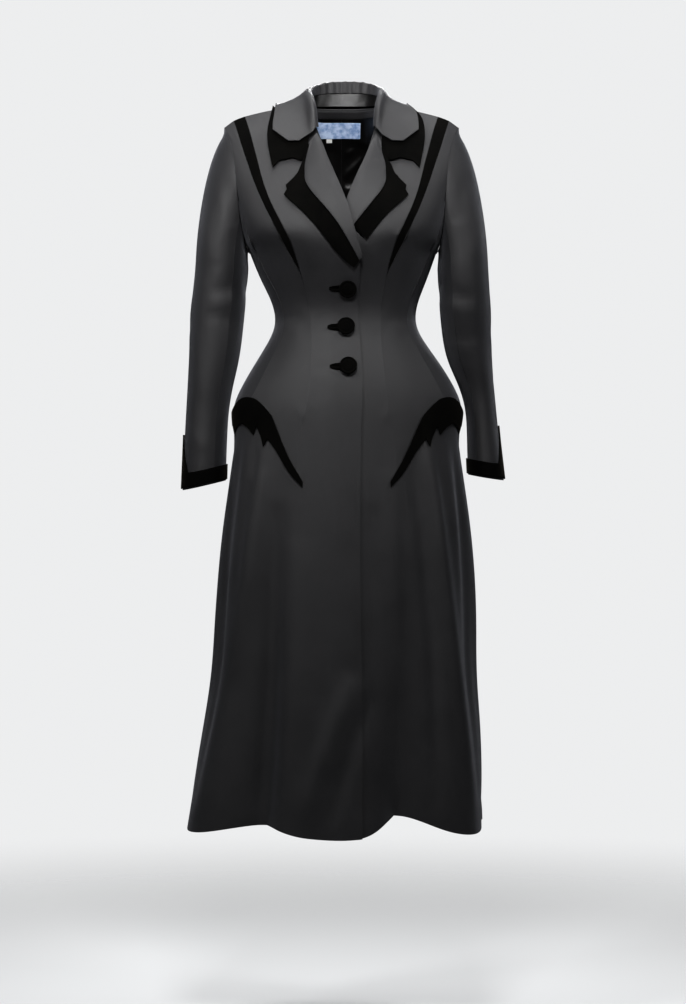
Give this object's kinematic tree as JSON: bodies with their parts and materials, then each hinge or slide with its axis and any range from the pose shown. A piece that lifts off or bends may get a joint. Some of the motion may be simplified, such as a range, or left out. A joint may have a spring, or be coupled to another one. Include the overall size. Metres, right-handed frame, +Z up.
{
  "type": "overcoat",
  "caption": "Long fitted overcoat with a flared, pleated skirt, velvet-trimmed collar, lapels, shoulders, hips and cuffs, closed at the waist by covered buttons.",
  "frame": {"origin": "the wearer_shoulders mount, in the middle of the body at the height of the shoulder seams' neck end", "axes": "+Z up along the coat, +X towards the wearer's left, -Y towards the front"},
  "size_m": [0.5783, 0.3674, 1.3385],
  "materials": {
    "wool": "charcoal black fine twill wool with a faint satin lustre",
    "velvet": "black cotton velvet, short pile",
    "satin": "black lining satin",
    "label": "blue woven ribbon, blank",
    "size_tab": "white woven tape, blank"
  },
  "bodies": {
    "root": {"back_left": "wool", "back_lining_left": "satin", "back_lining_right": "satin", "back_right": "wool", "button_1": "velvet", "button_2": "velvet", "button_3": "velvet", "buttonhole_1": "velvet", "buttonhole_2": "velvet", "buttonhole_3": "velvet", "collar_stand": "satin", "collar_top": "wool", "collar_under": "velvet", "cuff_velvet_left": "velvet", "cuff_velvet_right": "velvet", "front_left": "wool", "front_right": "wool", "hip_velvet_left": "velvet", "hip_velvet_right": "velvet", "label": "label", "lapel_top_left": "wool", "lapel_top_right": "wool", "lapel_velvet_left": "velvet", "lapel_velvet_right": "velvet", "neck_facing": "wool", "shoulder_velvet_left": "velvet", "shoulder_velvet_right": "velvet", "side_front_left": "wool", "side_front_right": "wool", "side_left": "wool", "side_right": "wool", "size_tab": "size_tab", "sleeve_under_left": "wool", "sleeve_under_right": "wool", "sleeve_upper_left": "wool", "sleeve_upper_right": "wool"}
  },
  "joints": []
}
